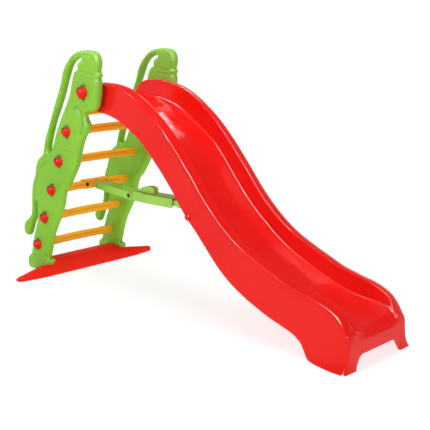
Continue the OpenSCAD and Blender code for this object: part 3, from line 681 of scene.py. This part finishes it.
# ---------------------------------------------------------------- fruit caps and leaves
def fruit(name, node, p, r, s):
    """A round fruit, a bit taller than wide, with soft lobes and a dimple where the leaves sit."""
    rings, seg = 20, 48
    verts, faces = [], []
    depth = 1.32 * r
    for i in range(rings + 1):
        a = math.pi / 2 * i / rings
        for k in range(seg):
            t = 2 * math.pi * k / seg
            rr = r * math.cos(a) ** 0.62
            yy = depth * math.sin(a)
            x, z = rr * math.cos(t), 1.05 * rr * math.sin(t)
            x *= 1 - 0.09 * max(0.0, -math.sin(t))
            # lobes run from the leaf end to the tip
            w = math.atan2(yy, x)
            lobe = 0.045 * math.cos(5 * w) * min(1.0, math.hypot(x, yy) / (0.5 * r))
            x, yy = x * (1 + lobe), yy * (1 + lobe)
            dim = math.exp(-((x / (0.34 * r)) ** 2 + ((z - 0.86 * r) / (0.30 * r)) ** 2))
            yy -= 0.20 * r * dim
            z -= 0.08 * r * dim
            verts.append((p[0] + x, s * (YO - 1.0 + max(0.0, yy)), p[1] + z))
    for i in range(rings):
        for k in range(seg):
            q = (k + 1) % seg
            faces.append((i * seg + k, i * seg + q, (i + 1) * seg + q, (i + 1) * seg + k))
    return make(name, verts, faces, FRUIT, "ladder", [node], auto=70)


def leaf_parts(p, r, s, scale):
    """Two leaves and a short stem lying over the cap's upper side."""
    verts, faces = [], []
    def blade(ang, length, width, lift, dz=0.0):
        base = len(verts)
        n = 9
        for i in range(n + 1):
            f = i / n
            w = width * math.sin(math.pi * min(1, f * 0.96 + 0.04)) ** 0.8 * (1 - 0.35 * f)
            d = length * f
            cx, cz = d * math.cos(ang), d * math.sin(ang)
            nx, nz = -math.sin(ang), math.cos(ang)
            for g, (side, up) in enumerate(((-1, 0.0), (-0.5, 1.2), (0, 0.4), (0.5, 1.2), (1, 0.0))):
                x, z = cx + nx * w * side, cz + nz * w * side
                X, Z = x, z + 0.74 * r + dz
                # follow the cap's dome, and stand a little off it
                rad = min(1.0, math.hypot(X, Z / 1.05) / (1.02 * r))
                dome = 1.32 * r * math.sqrt(max(0.0, 1 - rad ** 3.2))
                verts.append((p[0] + X, s * (YO + max(3.2, dome * 0.98) + 1.0 + up * scale + lift * math.sin(math.pi * f)), p[1] + Z))
        for i in range(n):
            for g in range(4):
                faces.append((base + i * 5 + g, base + i * 5 + g + 1, base + (i + 1) * 5 + g + 1, base + (i + 1) * 5 + g))
    L = 19 * scale
    blade(math.radians(52), L, 6.0 * scale, 2.0)
    blade(math.radians(138), L * 0.95, 5.6 * scale, 1.6)
    blade(math.radians(268), L * 0.55, 4.6 * scale, 1.0)
    blade(math.radians(95), L * 0.5, 5.0 * scale, 1.0)
    blade(math.radians(250), L * 0.62, 5.0 * scale, 0.6, -1.62 * r)
    blade(math.radians(292), L * 0.62, 5.0 * scale, 0.6, -1.62 * r)
    # stem
    base = len(verts)
    for i in range(4):
        f = i / 3
        for k in range(8):
            t = 2 * math.pi * k / 8
            rr = 1.9 * scale * (1 + 0.35 * f)
            verts.append((p[0] + 1.5 * f * scale + rr * math.cos(t), s * (YO + 9 + rr * math.sin(t) + 3 * (1 - f)), p[1] + 0.76 * r + 12 * f * scale))
    for i in range(3):
        for k in range(8):
            q = (k + 1) % 8
            faces.append((base + i * 8 + k, base + i * 8 + q, base + (i + 1) * 8 + q, base + (i + 1) * 8 + k))
    faces.append(tuple(base + 24 + k for k in range(8)))
    return verts, faces


lv, lf = [], []
for s, side in ((1, "left"), (-1, "right")):
    for i, q in enumerate(RUNG + [PIVOT]):
        r, k = (25.5, 1.05) if i < 5 else (29.5, 1.2)
        q = (q[0] - 6.0, q[1])
        name = f"rung_cap_{side}_{i + 1}" if i < 5 else f"pivot_cap_{side}"
        fruit(name + "_fruit", name, q, r, s)
        a, b = leaf_parts(q, r, s, k)
        lf += [tuple(n + len(lv) for n in f) for f in b]; lv += a
leaves = make("cap_leaves_pair", lv, lf, LEAF, "ladder", ["cap_leaves"])
modifier(leaves, "SOLIDIFY", thickness=0.0014, offset=0.0)


# ---------------------------------------------------------------- bevelled plates and blocks of the strut
def solid(name, parts, mats, body, replaces, bevel=2.0, seg=3, angle=32, local=None):
    """parts: (outline in XZ, y0, y1). Outlines are given in the link's own axes when local is set."""
    bm = bmesh.new()
    for outline, y0, y1 in parts:
        q = np.array(outline, float)
        if local is not None:
            (ax, az), ang = local
            c, s = math.cos(ang), math.sin(ang)
            q = np.stack([ax + q[:, 0] * c - q[:, 1] * s, az + q[:, 0] * s + q[:, 1] * c], 1)
        lower = [bm.verts.new((x / 1000 + OX, y0 / 1000, z / 1000)) for x, z in q]
        upper = [bm.verts.new((x / 1000 + OX, y1 / 1000, z / 1000)) for x, z in q]
        n = len(q)
        bm.faces.new(lower)
        bm.faces.new(upper[::-1])
        for i in range(n):
            bm.faces.new((lower[i], upper[i], upper[(i + 1) % n], lower[(i + 1) % n]))
    bmesh.ops.recalc_face_normals(bm, faces=bm.faces)
    me = bpy.data.meshes.new(name)
    bm.to_mesh(me)
    bm.free()
    me.materials.append(mats)
    me.polygons.foreach_set("use_smooth", [True] * len(me.polygons))
    ob = bpy.data.objects.new(name, me)
    bpy.context.scene.collection.objects.link(ob)
    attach(ob, body)
    if replaces:
        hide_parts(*replaces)
    b = modifier(ob, "BEVEL", width=bevel / 1000, segments=seg, limit_method="ANGLE", angle_limit=math.radians(angle), harden_normals=True)
    me.set_sharp_from_angle(angle=math.radians(angle))
    return ob


def disc(x, z, r, n=40, a0=0, a1=360):
    return [(x + r * math.cos(math.radians(a0 + (a1 - a0) * k / n)), z + r * math.sin(math.radians(a0 + (a1 - a0) * k / n)))
            for k in range(n + (0 if a1 - a0 == 360 else 1))]


ab = math.atan2(SB[1] - SA[1], SB[0] - SA[0]); AB = math.hypot(SB[0] - SA[0], SB[1] - SA[1])
bc = math.atan2(SC[1] - SB[1], SC[0] - SB[0]); BC = math.hypot(SC[0] - SB[0], SC[1] - SB[1])
W = 38.0
# rear link: two cheeks joined by plates near the clamp
cheek = disc(0, 0, 19, 14, 90, 270)[::1] + disc(AB, 0, 22, 20, -90, 90)
cheek = [(x, z) for x, z in disc(0, 0, 19, 14, 90, 270)] + [(AB - 40, -19)] + disc(AB, 0, 22, 20, -90, 90) + [(AB - 40, 19)]
solid("rear_link_moulding", [(cheek, -W, -W + 6), (cheek, W - 6, W),
      ([(26, 14), (138, 14), (138, 19), (26, 19)], -W + 1, W - 1), ([(26, -19), (138, -19), (138, -14), (26, -14)], -W + 1, W - 1),
      ([(132, -18), (138, -18), (138, 18), (132, 18)], -W + 1, W - 1)], ARM_LIT, "strut_rear_link", ["short_strut"],
      bevel=1.8, local=(SA, ab))
# front link: channel with a slimmer tongue at the elbow, ribs along its sides
body_out = [(112, -26), (338, -26), (338, 26), (112, 26)]
tongue = disc(0, 0, 22, 18, 90, 270) + [(40, -26), (116, -26), (116, 26), (36, 26)]
solid("front_link_moulding", [(tongue, -30, 30), ([(112, 20), (338, 20), (338, 26), (112, 26)], -36, 36),
      (body_out, -36, -32), (body_out, 32, 36), ([(112, -26), (118, -26), (118, 26), (112, 26)], -36, 36),
      ([(300, -26), (306, -26), (306, 26), (300, 26)], -34, 34)], ARM_LIT, "strut_front_link", ["long_strut"],
      bevel=2.0, local=(SB, bc))
eye = disc(BC, 0, 16, 28)
solid("yoke_moulding", [([(309, -14.9), (384, -14.9), (384, 14.9), (309, 14.9)], -23.9, 23.9),
      ([(372, -18), (458, -18), (458, 18), (372, 18)], -36, 36),
      ([(456, -18), (BC, -15), (BC, 15), (456, 18)], -28, 28), (eye, -40, 40)], ARM_LIT, "strut_front_link", ["strut_yoke"],
      bevel=2.4, local=(SB, bc))
solid("thumb_catch_moulding", [([(34, 26.5), (178, 26.5), (180, 48), (172, 57), (150, 61), (120, 60), (92, 52), (66, 41), (34, 34)], -17, 17),
      ([(76, 23), (162, 23), (162, 28), (76, 28)], -5.5, 5.5)], ARM_LIT, "catch", ["strut_catch"],
      bevel=3.0, seg=4, angle=50, local=(SB, bc))
# clamp on the third rung
p3 = RUNG[2]
zc = p3[1] + 6.0
solid("rung_clamp_moulding", [([(p3[0] - 20, zc - 24.5), (p3[0] + 20, zc - 24.5), (p3[0] + 20, zc + 24.5), (p3[0] - 20, zc + 24.5)], -82, 82),
      (disc(SA[0], SA[1], 17, 24, -90, 90) + [(p3[0] + 18, SA[1] + 17), (p3[0] + 18, SA[1] - 17)], -31, 31)],
      ORANGE, "ladder", ["strut_bracket"], bevel=3.0)


# ---------------------------------------------------------------- screws, pins and dark recesses
def turned(name, profile, p, s, mats, body, replaces, y_at, seg=36, local=None, auto=35):
    """A turned piece on an axis along Y: profile is (radius, distance outwards)."""
    verts, faces = [], []
    x0, z0 = p
    for r, d in profile:
        for k in range(seg):
            t = 2 * math.pi * k / seg
            verts.append((x0 + r * math.cos(t), s * (y_at + d), z0 + r * math.sin(t)))
    for i in range(len(profile) - 1):
        for k in range(seg):
            q = (k + 1) % seg
            faces.append((i * seg + k, i * seg + q, (i + 1) * seg + q, (i + 1) * seg + k))
    faces.append(tuple(range(seg)))
    faces.append(tuple((len(profile) - 1) * seg + k for k in range(seg)))
    return make(name, verts, faces, mats, body, replaces, auto=auto)


knob = [(0.5, 0), (14, 0), (16.2, 0.8), (17, 2.4), (17, 4.6), (16, 6.6), (13.4, 8.8), (10, 10.6), (6, 11.9), (0.5, 12.4)]
for s, side in ((1, "left"), (-1, "right")):
    turned(f"cross_pin_cap_{side}_knob", knob, SC, s, RED, "chute_body", [f"cross_pin_cap_{side}"], 209.5)
for n in ("cross_pin", "rung_screws", "pivot_bolts", "pivot_nuts", "base_screws", "bracket_screws", "strut_hinge_pin", "elbow_screws", "yoke_screws"):
    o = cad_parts[n]
    o.data.materials.clear()
    o.data.materials.append(BLACKED if n in ("bracket_screws", "elbow_screws") else ZINC)
# painted shade: a thin dark disc on each side of the elbow stands for the shade in its recess
for s in (-1, 1):
    side = "left" if s > 0 else "right"
    turned(f"elbow_recess_shade_{side}", [(0.5, 0.0), (11.0, 0.0), (11.6, 0.25), (11.6, 0.3)], SB, s, HOLE_SHADE, "strut_rear_link", (), W - 0.05)

# painted shade: dark discs on the clamp's front plate around its screws stand for the shade in their sinks
for s in (-1, 1):
    side = "left" if s > 0 else "right"
    verts, faces, seg = [], [], 32
    for r, d in ((0.4, 0.0), (10.0, 0.0), (11.0, 0.25), (11.0, 0.4)):
        verts += [(RUNG[2][0] + 20.0 + 0.4 - d, s * 64 + r * math.cos(2 * math.pi * k / seg), zc + r * math.sin(2 * math.pi * k / seg)) for k in range(seg)]
    for i in range(3):
        faces += [(i * seg + k, i * seg + (k + 1) % seg, (i + 1) * seg + (k + 1) % seg, (i + 1) * seg + k) for k in range(seg)]
    faces.append(tuple(range(seg)))
    make(f"clamp_recess_shade_{side}", verts, faces, HOLE_SHADE, "ladder", (), auto=35)

# ---------------------------------------------------------------- stage
fl = bpy.data.meshes.new("floor")
fl.from_pydata([(-30, -30, -0.0005), (30, -30, -0.0005), (30, 30, -0.0005), (-30, 30, -0.0005)], [], [(0, 1, 2, 3)])
floor = bpy.data.objects.new("studio_floor", fl)
bpy.context.scene.collection.objects.link(floor)
fm = bpy.data.materials.new("pale_floor")
fm.use_nodes = True
nt = fm.node_tree
bs = nt.nodes["Principled BSDF"]
nz = nt.nodes.new("ShaderNodeTexNoise"); nz.inputs["Scale"].default_value = 1.5
rp = nt.nodes.new("ShaderNodeValToRGB")
rp.color_ramp.elements[0].color = (0.33, 0.37, 0.37, 1); rp.color_ramp.elements[1].color = (0.35, 0.39, 0.39, 1)
nt.links.new(nz.outputs["Fac"], rp.inputs["Fac"]); nt.links.new(rp.outputs[0], bs.inputs["Base Color"])
bs.inputs["Roughness"].default_value = 0.9
bs.inputs["Specular IOR Level"].default_value = 0.0
bs.inputs["Emission Color"].default_value = (1, 1, 1, 1)
ft = nt.nodes.new("ShaderNodeTexCoord")
fv = nt.nodes.new("ShaderNodeVectorMath"); fv.operation = "LENGTH"
fr = nt.nodes.new("ShaderNodeMapRange")
fr.inputs["From Min"].default_value = 1.6; fr.inputs["From Max"].default_value = 5.0
fr.inputs["To Min"].default_value = 0.77; fr.inputs["To Max"].default_value = 0.93
nt.links.new(ft.outputs["Object"], fv.inputs[0]); nt.links.new(fv.outputs["Value"], fr.inputs["Value"])
nt.links.new(fr.outputs[0], bs.inputs["Emission Strength"])
fl.materials.append(fm)

world = bpy.data.worlds.new("studio")
bpy.context.scene.world = world
world.use_nodes = True
wn = world.node_tree
bg = wn.nodes["Background"]
tc = wn.nodes.new("ShaderNodeTexCoord")
sx = wn.nodes.new("ShaderNodeSeparateXYZ")
wr = wn.nodes.new("ShaderNodeValToRGB")
wr.color_ramp.elements[0].position = 0.06; wr.color_ramp.elements[0].color = (1, 1, 1, 1)
wr.color_ramp.elements[1].position = 0.46; wr.color_ramp.elements[1].color = (0.16, 0.16, 0.16, 1)
wn.links.new(tc.outputs["Generated"], sx.inputs[0])
wn.links.new(sx.outputs["Z"], wr.inputs["Fac"])
wn.links.new(wr.outputs[0], bg.inputs[0])
bg.inputs[1].default_value = 1.06


def area(name, loc, target, size, power, shape="RECTANGLE", size_y=None, col=(1, 1, 1)):
    li = bpy.data.lights.new(name, "AREA")
    li.shape = shape
    li.size = size
    if size_y:
        li.size_y = size_y
    li.energy = power
    li.color = col
    ob = bpy.data.objects.new(name, li)
    ob.location = loc
    d = Vector(target) - Vector(loc)
    ob.rotation_euler = d.to_track_quat("-Z", "Y").to_euler()
    bpy.context.scene.collection.objects.link(ob)
    return ob


def strip(name, p1, p2, width, power, target):
    """A long narrow softbox from p1 to p2 facing the target."""
    p1, p2 = Vector(p1), Vector(p2)
    x = (p2 - p1).normalized()
    mid = (p1 + p2) / 2
    z = (mid - Vector(target)).normalized()
    y = z.cross(x).normalized()
    z = x.cross(y).normalized()
    li = bpy.data.lights.new(name, "AREA")
    li.shape = "RECTANGLE"
    li.size, li.size_y, li.energy = (p2 - p1).length, width, power
    ob = bpy.data.objects.new(name, li)
    ob.matrix_world = Matrix.Translation(mid) @ Matrix((x, y, z)).transposed().to_4x4()
    bpy.context.scene.collection.objects.link(ob)
    return ob


# narrow softboxes that only show as reflections, broad ones that only light
for g in (strip("glint", (0.75, -2.85, 3.7), (0.0, -2.62, 3.7), 0.5, 195, (0, 0, 0.4)),
          strip("glint_mid", (0.0, -2.62, 3.7), (-1.25, -2.1, 3.7), 0.45, 13, (0, 0, 0.4)),
          strip("glint_rear", (-1.25, -2.1, 3.7), (-3.1, -1.1, 3.4), 0.4, 150, (0, 0, 0.4)),
          strip("glint_front", (0.75, -2.85, 3.65), (3.9, -1.1, 3.2), 0.5, 800, (0.9, -0.1, 0.2)),
          strip("glint_low", (2.0, -2.9, 3.35), (3.3, -3.2, 2.1), 0.4, 210, (1.05, -0.2, 0.2)),
          area("glint_back", (-0.72, 0.985, 1.865), (-0.19, -0.025, 0.895), 0.24, 1.1, size_y=0.17),
          area("glint_soft", (-0.66, 1.00, 1.89), (-0.18, -0.02, 0.89), 0.52, 1.9, size_y=0.36)):
    g.visible_diffuse = False
    g.visible_camera = False
for g in (area("front", (2.3, -0.5, 0.30), (1.1, -0.05, 0.08), 0.8, 2.2, size_y=0.4), area("side", (0.4, -3.6, 3.4), (0, 0, 0.4), 2.0, 46, size_y=1.6), area("top", (-0.4, 0.0, 5.2), (0.1, 0, 0.4), 3.2, 155, size_y=2.8)):
    g.visible_glossy = False

cam = bpy.data.cameras.new("camera")
cam.lens = 70.33
cam.sensor_width = 36.0
cam.sensor_fit = "HORIZONTAL"
cam.clip_end = 100
co = bpy.data.objects.new("camera", cam)
co.location = (4.020 + OX, -2.7701, 1.3564)
co.rotation_euler = (math.radians(90 - 12.882), 0, math.radians(44.99))
bpy.context.scene.collection.objects.link(co)
bpy.context.scene.camera = co
bpy.context.scene.view_settings.view_transform = "Standard"
